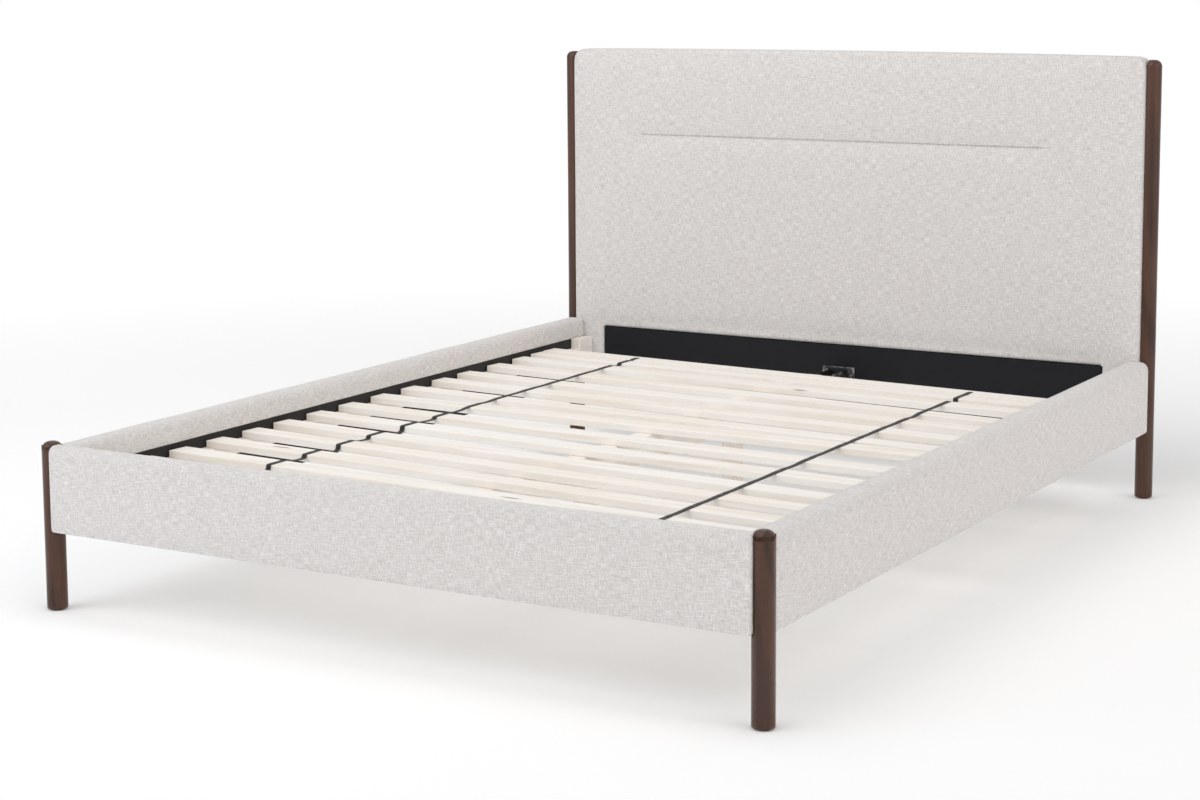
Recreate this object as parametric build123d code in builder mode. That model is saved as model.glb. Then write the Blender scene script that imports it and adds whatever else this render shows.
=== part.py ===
from build123d import *
import os
from math import atan, degrees

os.makedirs("parts", exist_ok=True)

# Upholstered bed frame for a 1524 x 2032 mm mattress. Millimetres, +Z up.
# Origin: on the floor, midway between the four posts. The foot is at -Y, the head at +Y.

# Driving dimensions
mattress_width = 1524
side_play = 25  # between the mattress and each side rail
post_radius = 22
post_x = 830  # post centres, across
post_y = 1069  # post centres, along
foot_post_top = 360
head_post_top = 1099
dome_radius = 17
glide_height = 3
rail_bottom = 171
rail_top = 350
side_rail_thickness = 59
foot_rail_thickness = 40
panel_proud = 7  # foot rail and headboard stand this far out past the posts
panel_gap = 1  # between a panel's end and the flat on its post
padding = 12
headboard_thickness = 57
headboard_top = 1109
hem_level = 300  # lower edge of the fabric inside the side rails
lower_panel_half_width = 722
lower_panel_top = 330
slat_length = 1560
slat_width = 55
slat_thickness = 16
slat_top = 289.3
# The strapped slats lie loose and a little askew. For each one, from the foot to the head:
# where its middle is along the bed, and how far it moves headwards per mm towards the right.
slat_places = (
    (-992, -0.038),
    (-888, -0.055),
    (-782, -0.067),
    (-660, -0.073),
    (-539, -0.080),
    (-426, -0.083),
    (-286, -0.066),
    (-150, -0.055),
    (10, -0.020),
    (108, -0.060),
    (240, -0.066),
    (362, -0.060),
    (488, -0.080),
    (620, -0.070),
    (716, -0.068),
    (781, -0.068),
)
cleat_width = 30
cleat_height = 25
strap_width = 13
strap_thickness = 1.2
strap_x = 490  # centre line of each strap, to either side
strap_tail = 20  # strap past the middle of the first and of the last slat
centre_rail_width = 40
centre_rail_height = 60
centre_rail_end = 895  # its head end, carried by the long socket on the headboard
socket_depth = {"foot": 38, "head": 186}
centre_leg_y = 350
leg_thickness = 36
leg_width = 44
leg_bottom = 14
leg_top = 262
leg_screw_levels = (228, 250)
foot_pad_radius = 18
foot_pad_height = 7
stud_radius = 5
stud_clearance = 0.05

# Worked-out levels and faces
well_half_width = mattress_width / 2 + side_play
side_outer = well_half_width + side_rail_thickness
foot_front = -(post_y + post_radius + panel_proud)
foot_back = foot_front + foot_rail_thickness
head_front = post_y + post_radius + panel_proud - headboard_thickness
head_back = post_y + post_radius + panel_proud
foot_rail_end = 818
headboard_end = 820
side_rail_start = foot_back + 1.5
side_rail_end = head_front - 1
lining_thickness = 2.5
lining_face = well_half_width + 0.5
core_inner = lining_face + lining_thickness
core_outer = side_outer - padding - 2
core_start = side_rail_start + 10
core_end = side_rail_end - 10
core_bottom = rail_bottom + 2
core_top = rail_top - padding
slat_bottom = slat_top - slat_thickness
cleat_top = slat_bottom - 0.3
cleat_inner = lining_face - cleat_width
frame_front = head_front + 25  # front of the headboard's timber frame
ply_front = head_front + 16
frame_back = frame_front + 26
frame_half_width = 806
frame_bottom = rail_bottom + 4
frame_top = headboard_top - 14
stile_width = 66
half_rail = centre_rail_width / 2
rail_base = cleat_top - centre_rail_height
stud_x = half_rail + leg_thickness / 2
sides = {"left": -1, "right": 1}

# Fixings
bolt_radius = 4
bolt_hole_radius = 4.1
screw_radius = 2.2
screw_hole_radius = 2.3
screw_head_radius = 4
post_bolt_x = (770, 842)  # bolts across the bed, from inside the cross member into the post
foot_bolt_y = -1075
foot_bolt_levels = (220, 300)
rail_bolt_levels = (240, 280)
rail_bolt_x_foot = 822
rail_bolt_x_head = 797
rail_bolt_y_foot = (-1078, -1000)
rail_bolt_y_head = (980, frame_back - 4)
board_bolt_y = frame_front + 13
board_bolt_levels = (220, 640, 1040)
socket_bolt_x = 32
socket_bolt_level = 262
washer_radius = 9
washer_thickness = 1.5
bolt_head_radius = 6.5
bolt_head_height = 4.5
bracket_levels = (197, 223)
bracket_thickness = 2.5
bracket_leg = 55
bracket_bottom = 185
bracket_top = 235
bracket_screw_inset = 30
wood_bite = 25  # depth of a screw in a side rail's core
cleat_screw_count = 7
cleat_screw_pitch = 320
cleat_screw_level = cleat_top - cleat_height / 2


def block(x_span, y_span, z_span, mode=Mode.ADD):
    """A plain block between two corners, given as spans."""
    spans = (x_span, y_span, z_span)
    sizes = [abs(high - low) for low, high in spans]
    with Locations(tuple((low + high) / 2 for low, high in spans)):
        Box(*sizes, mode=mode)


def rod(start, end, radius, mode=Mode.ADD):
    """A round rod between two points on a line along X, Y or Z."""
    middle = tuple((a + b) / 2 for a, b in zip(start, end))
    lengths = [abs(b - a) for a, b in zip(start, end)]
    turn = {0: (0, 90, 0), 1: (90, 0, 0), 2: (0, 0, 0)}[lengths.index(max(lengths))]
    with Locations(Location(middle, turn)):
        Cylinder(radius, max(lengths), mode=mode)


def save(builder, name):
    """Label the finished sub-part and write it."""
    builder.part.label = name
    export_step(builder.part, f"parts/{name}.step")


def foot_rail_bolts():
    """Start and end of each bolt between the foot rail and a foot post."""
    inner, outer = post_bolt_x
    return [
        ((sign * inner, foot_bolt_y, level), (sign * outer, foot_bolt_y, level))
        for sign in sides.values()
        for level in foot_bolt_levels
    ]


def side_rail_bolts(sign):
    """Bolts at the two ends of one side rail: into the foot post, and into the headboard."""
    places = ((rail_bolt_x_foot, rail_bolt_y_foot), (rail_bolt_x_head, rail_bolt_y_head))
    return [
        ((sign * x, start, level), (sign * x, end, level))
        for x, (start, end) in places
        for level in rail_bolt_levels
    ]


def headboard_bolts(sign):
    """Bolts from a headboard stile into its post."""
    inner, outer = post_bolt_x
    return [
        ((sign * inner, board_bolt_y, level), (sign * outer, board_bolt_y, level))
        for level in board_bolt_levels
    ]


def socket_bolts(end):
    """Axis of the two bolts of one centre rail socket, from head to tip."""
    face = head_front + 0.5 if end == "head" else foot_back
    tip = frame_front + 14 if end == "head" else foot_back - 24
    return [
        ((side * socket_bolt_x, face, socket_bolt_level), (side * socket_bolt_x, tip, socket_bolt_level))
        for side in (-1, 1)
    ]


def bracket_screws(end, sign):
    """Screws of one corner bracket: two into the side rail, two into the cross member."""
    inward = 1 if end == "foot" else -1
    face = foot_back if end == "foot" else head_front
    depth = -24 if end == "foot" else 44
    plate = bracket_thickness * inward
    y_side = face + inward * bracket_screw_inset
    x_cross = sign * (well_half_width - bracket_screw_inset)
    found = []
    for level in bracket_levels:
        x_head = sign * (lining_face - bracket_thickness)
        found.append(((x_head, y_side, level), (sign * (core_inner + wood_bite), y_side, level)))
        found.append(((x_cross, face + plate, level), (x_cross, face + depth, level)))
    return found


def cleat_screws(sign):
    """Screws that hold one slat cleat to its side rail."""
    first = -cleat_screw_pitch * (cleat_screw_count - 1) / 2
    return [
        (
            (sign * cleat_inner, first + i * cleat_screw_pitch, cleat_screw_level),
            (sign * (core_inner + wood_bite), first + i * cleat_screw_pitch, cleat_screw_level),
        )
        for i in range(cleat_screw_count)
    ]


def leg_screws():
    """Screws that hold the centre legs to the side of the centre rail."""
    head_x = half_rail + leg_thickness
    return [
        ((head_x, y, level), (-5, y, level))
        for y in (-centre_leg_y, centre_leg_y)
        for level in leg_screw_levels
    ]


def cut_holes(axes, radius):
    """Cut a round hole along each axis."""
    for start, end in axes:
        rod(start, end, radius, mode=Mode.SUBTRACT)


# Posts: turned, domed, with flats where the rails and the headboard butt against them
for side, sign in sides.items():
    for end in ("foot", "head"):
        y = -post_y if end == "foot" else post_y
        top = foot_post_top if end == "foot" else head_post_top
        with BuildPart() as post:
            with BuildSketch(Plane.XY.offset(glide_height)):
                with Locations((sign * post_x, y)):
                    Circle(post_radius)
            extrude(amount=top - glide_height)
            fillet(post.edges().sort_by(Axis.Z)[-1], dome_radius)
            chamfer(post.edges().group_by(Axis.Z)[0], 1.5)
            if end == "foot":
                flat_x = sign * (foot_rail_end + panel_gap)
                levels = (rail_bottom - 1, rail_top + 1)
                block((0, flat_x), (y - 40, y + 40), levels, mode=Mode.SUBTRACT)
                back_flat = side_rail_start - panel_gap
                across = (sign * (post_x - 40), sign * (post_x + 40))
                block(across, (back_flat, back_flat + 40), levels, mode=Mode.SUBTRACT)
                cut_holes(foot_rail_bolts() + side_rail_bolts(sign), bolt_hole_radius)
            else:
                flat_x = sign * (headboard_end + panel_gap)
                levels = (rail_bottom - 1, top + 10)
                block((0, flat_x), (y - 40, y + 40), levels, mode=Mode.SUBTRACT)
                cut_holes(headboard_bolts(sign), bolt_hole_radius)
        save(post, f"{end}_post_{side}")

with BuildPart() as post_glides:
    with BuildSketch():
        with GridLocations(2 * post_x, 2 * post_y, 2, 2):
            Circle(post_radius - 6)
    extrude(amount=glide_height)
    chamfer(post_glides.edges().group_by(Axis.Z)[0], 0.8)
save(post_glides, "post_glides")

# Foot rail: a timber core inside a padded cover that is open underneath
with BuildPart() as foot_rail_core:
    block((-800, 800), (foot_back - 28, foot_back - 6), (core_bottom, core_top))
    cut_holes(foot_rail_bolts(), bolt_hole_radius)
    cut_holes(socket_bolts("foot"), bolt_hole_radius)
    for sign in sides.values():
        cut_holes(bracket_screws("foot", sign), screw_hole_radius)
save(foot_rail_core, "foot_rail_core")

with BuildPart() as foot_rail_cover:
    block((-foot_rail_end, foot_rail_end), (foot_front, foot_back), (rail_bottom, rail_top))
    fillet(foot_rail_cover.edges().filter_by(Axis.X).group_by(Axis.Z)[-1], 10)
    fillet(foot_rail_cover.edges().filter_by(Axis.Z), 6)
    block((-800, 800), (foot_back - 28, foot_back - 6), (rail_bottom - 5, core_top), mode=Mode.SUBTRACT)
    cut_holes(foot_rail_bolts(), bolt_hole_radius)
    cut_holes(socket_bolts("foot"), bolt_hole_radius)
    for sign in sides.values():
        cut_holes(bracket_screws("foot", sign), screw_hole_radius)
save(foot_rail_cover, "foot_rail_cover")

# Side rails: timber core, padded cover down to the hem inside, dark lining below the hem
for side, sign in sides.items():
    core_x = (sign * core_inner, sign * core_outer)
    screws = bracket_screws("foot", sign) + bracket_screws("head", sign) + cleat_screws(sign)

    with BuildPart() as core:
        block(core_x, (core_start, core_end), (core_bottom, core_top))
        cut_holes(side_rail_bolts(sign), bolt_hole_radius)
        cut_holes(screws, screw_hole_radius)
    save(core, f"side_rail_core_{side}")

    with BuildPart() as cover:
        cover_x = (sign * well_half_width, sign * side_outer)
        block(cover_x, (side_rail_start, side_rail_end), (rail_bottom, rail_top))
        fillet(cover.edges().filter_by(Axis.Y).group_by(Axis.Z)[-1], 12)
        fillet(cover.edges().filter_by(Axis.Z), 6)
        block(core_x, (core_start, core_end), (rail_bottom - 5, core_top), mode=Mode.SUBTRACT)
        inner_x = (sign * (well_half_width - 5), sign * core_inner)
        below_hem = (rail_bottom - 5, hem_level)
        block(inner_x, (side_rail_start - 5, side_rail_end + 5), below_hem, mode=Mode.SUBTRACT)
        cut_holes(side_rail_bolts(sign), bolt_hole_radius)
    save(cover, f"side_rail_cover_{side}")

    with BuildPart() as lining:
        lining_x = (sign * lining_face, sign * core_inner)
        block(lining_x, (side_rail_start + 2, side_rail_end - 2), (rail_bottom + 1, hem_level - 0.5))
        cut_holes(screws, screw_hole_radius)
    save(lining, f"side_rail_lining_{side}")

    with BuildPart() as cleat:
        cleat_x = (sign * cleat_inner, sign * lining_face)
        block(cleat_x, (side_rail_start + 6, side_rail_end - 6), (cleat_top - cleat_height, cleat_top))
        chamfer(cleat.edges().filter_by(Axis.Y), 1)
        for head, tip in cleat_screws(sign):
            rod(head, tip, screw_hole_radius, mode=Mode.SUBTRACT)
            rod(head, (head[0] + sign * 4, head[1], head[2]), screw_head_radius, mode=Mode.SUBTRACT)
    save(cleat, f"slat_cleat_{side}")

    with BuildPart() as corner_block:
        block(cleat_x, (head_front - 76, side_rail_end - 6), (cleat_top, hem_level))
        chamfer(corner_block.edges().filter_by(Axis.Z), 2)
    save(corner_block, f"corner_block_{side}")

# Headboard: a timber ladder frame, a plywood panel, a padded cover and a dark lower panel
for side, sign in sides.items():
    with BuildPart() as stile:
        stile_x = (sign * (frame_half_width - stile_width), sign * frame_half_width)
        block(stile_x, (frame_front, frame_back), (frame_bottom, frame_top))
        cut_holes(headboard_bolts(sign), bolt_hole_radius)
        cut_holes(side_rail_bolts(sign), bolt_hole_radius)
        cut_holes(bracket_screws("head", sign), screw_hole_radius)
    save(stile, f"headboard_stile_{side}")

rail_half = frame_half_width - stile_width
for name, low, high in (("bottom", frame_bottom, 300), ("middle", 640, 700), ("top", 1035, frame_top)):
    with BuildPart() as cross_rail:
        block((-rail_half, rail_half), (frame_front, frame_back), (low, high))
        if name == "bottom":
            cut_holes(socket_bolts("head"), bolt_hole_radius)
    save(cross_rail, f"headboard_{name}_rail")

with BuildPart() as headboard_panel:
    block((-frame_half_width, frame_half_width), (ply_front, frame_front), (frame_bottom, frame_top))
    cut_holes(socket_bolts("head"), bolt_hole_radius)
    for sign in sides.values():
        cut_holes(side_rail_bolts(sign), bolt_hole_radius)
        cut_holes(bracket_screws("head", sign), screw_hole_radius)
save(headboard_panel, "headboard_panel")

with BuildPart() as headboard_pad:
    block((-headboard_end, headboard_end), (head_front, head_back), (rail_bottom, headboard_top))
    top_corners = headboard_pad.edges().filter_by(Axis.Y).group_by(Axis.Z)[-1]
    fillet(top_corners, 28)
    fillet(headboard_pad.faces().sort_by(Axis.Y)[0].edges().group_by(Axis.Z)[1:], 9)
    frame_x = (-frame_half_width, frame_half_width)
    block(frame_x, (ply_front, head_back + 5), (rail_bottom - 5, frame_top), mode=Mode.SUBTRACT)
    opening_x = (-lower_panel_half_width - 0.5, lower_panel_half_width + 0.5)
    opening_z = (rail_bottom - 5, lower_panel_top + 0.5)
    block(opening_x, (head_front - 5, ply_front), opening_z, mode=Mode.SUBTRACT)
    for sign in sides.values():
        cut_holes(headboard_bolts(sign), bolt_hole_radius)
        cut_holes(side_rail_bolts(sign), bolt_hole_radius)
        cut_holes(bracket_screws("head", sign), screw_hole_radius)
save(headboard_pad, "headboard_pad")

with BuildPart() as headboard_lower_panel:
    panel_x = (-lower_panel_half_width, lower_panel_half_width)
    block(panel_x, (head_front + 0.5, ply_front), (rail_bottom + 1, lower_panel_top))
    cut_holes(socket_bolts("head"), bolt_hole_radius)
save(headboard_lower_panel, "headboard_lower_panel")

with BuildPart() as headboard_back_cloth:
    block(frame_x, (frame_back, frame_back + 1.5), (frame_bottom, frame_top))
save(headboard_back_cloth, "headboard_back_cloth")

# Steel angle brackets in the four inner corners, below the slats
for end in ("foot", "head"):
    inward = 1 if end == "foot" else -1
    face = foot_back if end == "foot" else head_front
    with BuildPart() as corner_brackets:
        for sign in sides.values():
            levels = (bracket_bottom, bracket_top)
            near = (sign * (lining_face - bracket_thickness), sign * lining_face)
            block(near, (face, face + inward * bracket_leg), levels)
            across = (sign * (lining_face - bracket_leg), sign * lining_face)
            block(across, (face, face + inward * bracket_thickness), levels)
            cut_holes(bracket_screws(end, sign), screw_hole_radius)
    save(corner_brackets, f"corner_brackets_{end}")

with BuildPart() as corner_bracket_screws:
    for end in ("foot", "head"):
        inward = 1 if end == "foot" else -1
        for sign in sides.values():
            for head, tip in bracket_screws(end, sign):
                rod(head, tip, screw_radius)
                along_x = abs(tip[0] - head[0]) > 1
                x_out = head[0] - sign * 2 if along_x else head[0]
                y_out = head[1] if along_x else head[1] + inward * 2
                rod(head, (x_out, y_out, head[2]), screw_head_radius)
save(corner_bracket_screws, "corner_bracket_screws")

with BuildPart() as joint_bolts:
    axes = foot_rail_bolts()
    for sign in sides.values():
        axes = axes + side_rail_bolts(sign) + headboard_bolts(sign)
    for start, end in axes:
        rod(start, end, bolt_radius)
save(joint_bolts, "joint_bolts")

with BuildPart() as slat_cleat_screws:
    for sign in sides.values():
        for head, tip in cleat_screws(sign):
            rod(head, tip, screw_radius)
            rod(head, (head[0] + sign * 3.8, head[1], head[2]), screw_head_radius - 0.1)
save(slat_cleat_screws, "slat_cleat_screws")

# Centre support: a rail hung in a socket at each end, with two legs screwed to its side
with BuildPart() as centre_rail:
    block((-half_rail, half_rail), (foot_back + 4, centre_rail_end), (rail_base, cleat_top))
    chamfer(centre_rail.edges().filter_by(Axis.Y), 1.5)
    cut_holes(leg_screws(), screw_hole_radius)
save(centre_rail, "centre_rail")

for end in ("foot", "head"):
    inward = 1 if end == "foot" else -1
    face = foot_back if end == "foot" else head_front + 0.5
    cheek = half_rail + 0.3
    with BuildPart() as socket:
        plate_y = (face, face + inward * bracket_thickness)
        block((-46, 46), plate_y, (rail_base - 6, cleat_top - 0.5))
        depth_y = (face, face + inward * socket_depth[end])
        floor_z = (rail_base - 0.3 - bracket_thickness, rail_base - 0.3)
        for sign in sides.values():
            cheek_x = (sign * cheek, sign * (cheek + bracket_thickness))
            block(cheek_x, depth_y, (floor_z[0], cleat_top - 8))
        floor_x = (-cheek - bracket_thickness, cheek + bracket_thickness)
        block(floor_x, depth_y, floor_z)
        for start, tip in socket_bolts(end):
            rod(start, (start[0], start[1] + inward * 10, start[2]), bolt_hole_radius, mode=Mode.SUBTRACT)
    save(socket, f"centre_socket_{end}")

with BuildPart() as socket_bolt_set:
    for end in ("foot", "head"):
        inward = 1 if end == "foot" else -1
        for start, tip in socket_bolts(end):
            x, face, level = start
            plate = face + inward * bracket_thickness
            rod((x, plate, level), tip, bolt_radius)
            washer_top = plate + inward * washer_thickness
            head_top = washer_top + inward * bolt_head_height
            rod((x, plate, level), (x, washer_top, level), washer_radius)
            rod((x, washer_top, level), (x, head_top, level), bolt_head_radius)
save(socket_bolt_set, "centre_socket_bolts")

for name, y in (("front", -centre_leg_y), ("back", centre_leg_y)):
    with BuildPart() as leg:
        leg_x = (half_rail, half_rail + leg_thickness)
        block(leg_x, (y - leg_width / 2, y + leg_width / 2), (leg_bottom, leg_top))
        chamfer(leg.edges().filter_by(Axis.Z), 1.5)
        stud_hole = stud_radius + stud_clearance
        bore_top = (stud_x, y, leg_bottom + 60)
        rod((stud_x, y, leg_bottom), bore_top, stud_hole, mode=Mode.SUBTRACT)
        cut_holes(leg_screws(), screw_hole_radius)
    save(leg, f"centre_leg_{name}")

    with BuildPart() as foot:
        with BuildSketch(Plane.XY):
            with Locations((stud_x, y)):
                Circle(foot_pad_radius)
        extrude(amount=foot_pad_height)
        chamfer(foot.edges().group_by(Axis.Z)[-1], 2.5)
        nut_top = leg_bottom - 0.3
        with BuildSketch(Plane.XY.offset(foot_pad_height)):
            with Locations((stud_x, y)):
                RegularPolygon(9, 6)
        extrude(amount=nut_top - foot_pad_height)
        rod((stud_x, y, nut_top), (stud_x, y, leg_bottom + 44), stud_radius)
    save(foot, f"levelling_foot_{name}")

with BuildPart() as centre_leg_screws:
    for head, tip in leg_screws():
        rod(head, tip, screw_radius)
        rod(head, (head[0] + 2, head[1], head[2]), screw_head_radius)
save(centre_leg_screws, "centre_leg_screws")

# Slats: loose pine boards on the cleats, held apart by two webbing straps
for i, (y, drift) in enumerate(slat_places):
    with BuildPart() as slat:
        middle = (0, y, (slat_bottom + slat_top) / 2)
        with Locations(Location(middle, (0, 0, degrees(atan(drift))))):
            Box(slat_length, slat_width, slat_thickness)
        fillet(slat.edges().group_by(SortBy.LENGTH)[-1], 1.5)
    save(slat, f"slat_{i + 1:02d}")

for side, sign in sides.items():
    with BuildPart() as strap:
        x = sign * strap_x
        strap_ys = [y + drift * x for y, drift in slat_places]
        strap_span = (strap_ys[0] - strap_tail, strap_ys[-1] + strap_tail)
        half_strap = strap_width / 2
        block((x - half_strap, x + half_strap), strap_span, (slat_top, slat_top + strap_thickness))
    save(strap, f"slat_strap_{side}")

with BuildPart() as strap_staples:
    strap_top = slat_top + strap_thickness
    for x in (-strap_x, strap_x):
        for y, drift in slat_places:
            staple_y = (y + drift * x - 0.5, y + drift * x + 0.5)
            block((x - 5, x + 5), staple_y, (strap_top, strap_top + 0.7))
            for leg_x in (x - 4.5, x + 4.5):
                block((leg_x - 0.5, leg_x + 0.5), staple_y, (strap_top - 8, strap_top))
save(strap_staples, "strap_staples")
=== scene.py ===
import math
import bpy
import bmesh
import numpy as np
from mathutils import Euler, Matrix, Vector, noise


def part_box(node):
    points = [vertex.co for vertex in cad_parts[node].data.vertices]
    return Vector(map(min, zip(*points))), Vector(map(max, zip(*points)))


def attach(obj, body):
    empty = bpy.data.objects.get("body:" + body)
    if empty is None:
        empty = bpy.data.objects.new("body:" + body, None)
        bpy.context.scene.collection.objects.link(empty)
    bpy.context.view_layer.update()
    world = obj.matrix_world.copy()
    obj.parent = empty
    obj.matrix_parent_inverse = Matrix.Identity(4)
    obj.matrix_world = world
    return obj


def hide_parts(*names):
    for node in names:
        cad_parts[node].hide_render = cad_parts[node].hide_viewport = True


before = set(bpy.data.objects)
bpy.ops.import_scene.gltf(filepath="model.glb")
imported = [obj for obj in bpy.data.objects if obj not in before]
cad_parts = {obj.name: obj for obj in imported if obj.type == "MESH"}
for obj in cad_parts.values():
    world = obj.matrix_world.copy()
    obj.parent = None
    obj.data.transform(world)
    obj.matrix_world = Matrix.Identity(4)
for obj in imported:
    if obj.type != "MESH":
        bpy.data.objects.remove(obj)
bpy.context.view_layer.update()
scene = bpy.context.scene
scene.view_settings.view_transform = "Standard"
print("frame loaded:", len(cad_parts), "nodes")


cameraPlace = {"place": (2.6933, -4.810, 1.347), "yaw": 30.374, "dip": 7.447, "roll": -0.355,
               "lens": 73.09, "shiftY": -0.1}
studio = {"sky": 0.66, "skyColour": (0.985, 0.99, 1.0), "backdrop": 1.0,
          "floorHalf": 14.0, "floorColour": (0.93, 0.93, 0.93), "glowNear": 0.07, "glowFar": 0.24}
suns = {"key": {"strength": 0.52, "colour": (1.0, 0.99, 0.98), "toward": (-0.30, -0.62, 0.75), "spread": 45},
        "side": {"strength": 0.80, "colour": (1.0, 0.93, 0.86), "toward": (0.86, -0.20, 0.42), "spread": 60}}
panels = {"front": {"power": 20, "colour": (0.84, 0.92, 1.0), "place": (-2.6, -3.3, 1.8),
                    "aim": (-0.5, -1.0, 0.2), "size": (2.4, 1.8)},
          "top": {"power": 12, "colour": (0.97, 0.985, 1.0), "place": (-0.2, -0.8, 2.7),
                  "aim": (0.0, 1.0, 0.5), "size": (2.4, 1.4)}}


def makeCamera():
    data = bpy.data.cameras.new("camera")
    data.lens = cameraPlace["lens"]
    data.sensor_width = 36
    data.shift_y = cameraPlace["shiftY"]
    data.clip_end = 100
    camera = bpy.data.objects.new("camera", data)
    turn = Euler((math.radians(90 - cameraPlace["dip"]), 0, math.radians(cameraPlace["yaw"]))).to_matrix()
    turn = turn @ Matrix.Rotation(math.radians(cameraPlace["roll"]), 3, "Z")
    camera.matrix_world = Matrix.Translation(cameraPlace["place"]) @ turn.to_4x4()
    scene.collection.objects.link(camera)
    scene.camera = camera


def makeSky():
    world = bpy.data.worlds.new("studio")
    scene.world = world
    world.use_nodes = True
    tree = world.node_tree
    tree.nodes.clear()
    lit = tree.nodes.new("ShaderNodeBackground")
    lit.inputs["Color"].default_value = (*studio["skyColour"], 1)
    lit.inputs["Strength"].default_value = studio["sky"]
    seen = tree.nodes.new("ShaderNodeBackground")
    seen.inputs["Color"].default_value = (1, 1, 1, 1)
    seen.inputs["Strength"].default_value = studio["backdrop"]
    path = tree.nodes.new("ShaderNodeLightPath")
    mix = tree.nodes.new("ShaderNodeMixShader")
    out = tree.nodes.new("ShaderNodeOutputWorld")
    tree.links.new(path.outputs["Is Camera Ray"], mix.inputs[0])
    tree.links.new(lit.outputs[0], mix.inputs[1])
    tree.links.new(seen.outputs[0], mix.inputs[2])
    tree.links.new(mix.outputs[0], out.inputs["Surface"])


def placeLight(name, kind, settings):
    data = bpy.data.lights.new(name, kind)
    data.color = settings["colour"]
    light = bpy.data.objects.new(name, data)
    if kind == "SUN":
        data.energy = settings["strength"]
        data.angle = math.radians(settings["spread"])
        heading = Vector(settings["toward"])
    else:
        data.energy = settings["power"]
        data.shape = "RECTANGLE"
        data.size, data.size_y = settings["size"]
        light.location = settings["place"]
        heading = Vector(settings["place"]) - Vector(settings["aim"])
    light.rotation_euler = heading.to_track_quat("Z", "Y").to_euler()
    scene.collection.objects.link(light)


def newGroup(name, inputs, outputs):
    group = bpy.data.node_groups.new(name, "ShaderNodeTree")
    for label, kind, value in inputs:
        socket = group.interface.new_socket(name=label, in_out="INPUT", socket_type="NodeSocket" + kind)
        if value is not None:
            socket.default_value = value
    for label, kind in outputs:
        group.interface.new_socket(name=label, in_out="OUTPUT", socket_type="NodeSocket" + kind)
    start = group.nodes.new("NodeGroupInput")
    end = group.nodes.new("NodeGroupOutput")
    return group, start.outputs, end.inputs


def plug(tree, value, socket):  # a socket is linked, a plain value is set
    if isinstance(value, bpy.types.NodeSocket):
        tree.links.new(value, socket)
    else:
        socket.default_value = value


def calc(tree, operation, first, second=0.0, third=None, clamp=False):
    node = tree.nodes.new("ShaderNodeMath")
    node.operation = operation
    node.use_clamp = clamp
    plug(tree, first, node.inputs[0])
    plug(tree, second, node.inputs[1])
    if third is not None:
        plug(tree, third, node.inputs[2])
    return node.outputs[0]


def stretch(tree, vector, factors):
    node = tree.nodes.new("ShaderNodeVectorMath")
    node.operation = "MULTIPLY"
    plug(tree, vector, node.inputs[0])
    node.inputs[1].default_value = factors
    return node.outputs[0]


def cloud(tree, vector, scale, detail=2.0, seed=0.0, roughness=0.5):
    node = tree.nodes.new("ShaderNodeTexNoise")
    node.noise_dimensions = "4D"
    plug(tree, vector, node.inputs["Vector"])
    plug(tree, seed, node.inputs["W"])
    node.inputs["Scale"].default_value = scale
    node.inputs["Detail"].default_value = detail
    node.inputs["Roughness"].default_value = roughness
    return node.outputs["Fac"]


def remap(tree, value, low, high, toLow=0.0, toHigh=1.0):
    node = tree.nodes.new("ShaderNodeMapRange")
    node.interpolation_type = "SMOOTHSTEP"
    plug(tree, value, node.inputs["Value"])
    for label, amount in (("From Min", low), ("From Max", high), ("To Min", toLow), ("To Max", toHigh)):
        plug(tree, amount, node.inputs[label])
    return node.outputs["Result"]


def blendColour(tree, factor, first, second, kind="MIX"):
    node = tree.nodes.new("ShaderNodeMix")
    node.data_type = "RGBA"
    node.blend_type = kind
    plug(tree, factor, node.inputs["Factor"])
    plug(tree, first, node.inputs["A"])
    plug(tree, second, node.inputs["B"])
    return node.outputs["Result"]


def splitAxes(tree, vector):
    node = tree.nodes.new("ShaderNodeSeparateXYZ")
    plug(tree, vector, node.inputs[0])
    return node.outputs["X"], node.outputs["Y"], node.outputs["Z"]


def joinAxes(tree, x, y, z):
    node = tree.nodes.new("ShaderNodeCombineXYZ")
    for value, socket in zip((x, y, z), node.inputs):
        plug(tree, value, socket)
    return node.outputs[0]


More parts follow.
